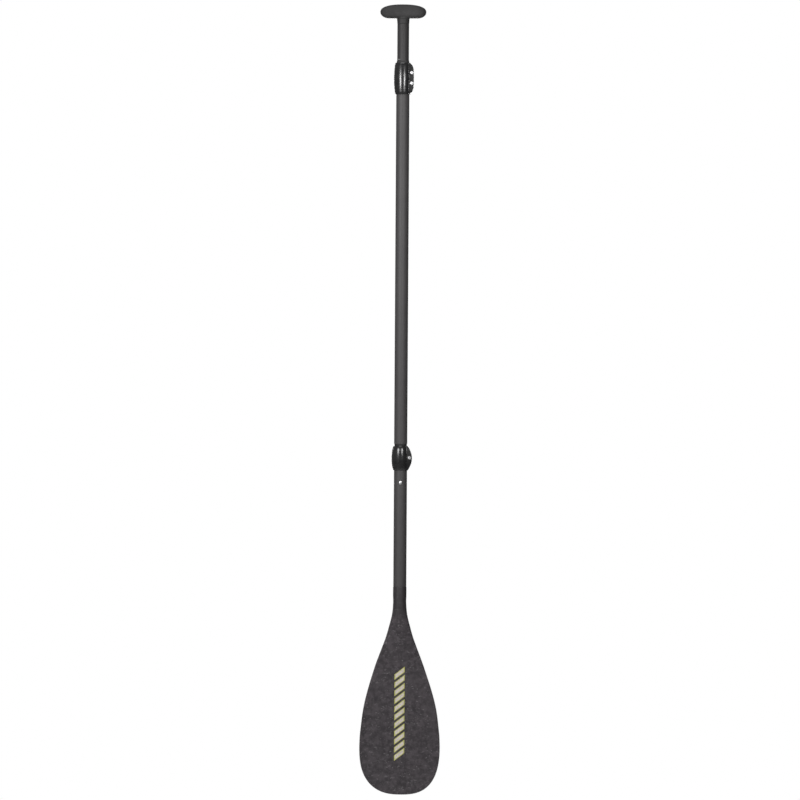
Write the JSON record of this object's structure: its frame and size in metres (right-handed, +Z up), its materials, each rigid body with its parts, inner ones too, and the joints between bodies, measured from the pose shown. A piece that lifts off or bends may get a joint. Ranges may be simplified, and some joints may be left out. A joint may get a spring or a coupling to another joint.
{
  "type": "adjustable single blade paddle",
  "caption": "Adjustable stand-up paddle: T grip, telescoping satin shaft with lever clamps, snap-button joint and a teardrop blade.",
  "frame": {"origin": "on the shaft's axis, at the flat underside of the T grip", "axes": "+Z up along the shaft towards the grip, -Y out of the blade's power face, +X towards the clamp lugs"},
  "size_m": [0.1838, 0.0905, 1.8029],
  "materials": {
    "grip": "fine matte texture",
    "shaft": "satin composite tube",
    "clamp": "gloss black nylon",
    "steel": "bright stainless steel",
    "rubber": "matte",
    "foam": "closed-cell foam",
    "blade": "satin, short-fibre composite with fine flecks"
  },
  "bodies": {
    "handle": {"grip": "grip", "handle_shaft": "shaft", "handle_shaft_plug": "clamp"},
    "main": {"main_shaft": "shaft", "upper_clamp_body": "clamp", "upper_clamp_liner": "rubber", "upper_clamp_bolt_top": "steel", "upper_clamp_bolt_bottom": "steel", "upper_clamp_pin": "steel", "upper_clamp_saddle": "steel", "main_shaft_ferrule": "shaft", "ferrule_plug": "foam", "joint_seal_ring": "rubber", "button_spring": "steel"},
    "upper_lever": {"upper_lever": "clamp"},
    "button": {"spring_button": "steel"},
    "blade_section": {"blade_shaft": "shaft", "blade_shaft_plug": "foam", "blade_shell": "blade", "blade_core": "foam", "lower_clamp_body": "clamp", "lower_clamp_bolt": "steel", "lower_clamp_pin": "steel", "lower_clamp_saddle": "steel"},
    "lower_lever": {"lower_lever": "clamp"}
  },
  "joints": [
    {"name": "length_adjust", "type": "slide", "parent": "handle", "child": "main", "axis": [0, 0, -1], "range_m": [-0.08, 0.4]},
    {"name": "upper_lever_open", "type": "hinge", "parent": "main", "child": "upper_lever", "pos_m": [0.02, 0.0137, -0.1372], "axis": [0, 0, -1], "range_deg": [0, 150]},
    {"name": "button_press", "type": "slide", "parent": "main", "child": "button", "axis": [0, 1, 0], "range_m": [0, 0.0042], "stiffness_N_per_m": 2500, "deforming": ["button_spring"]},
    {"name": "blade_pull", "type": "slide", "parent": "main", "child": "blade_section", "axis": [0, 0, -1], "range_m": [0, 0.14], "deforming": ["spring_button"]},
    {"name": "lower_lever_open", "type": "hinge", "parent": "blade_section", "child": "lower_lever", "pos_m": [0.02, 0.0137, -1.0018], "axis": [0, 0, -1], "range_deg": [0, 150]}
  ]
}
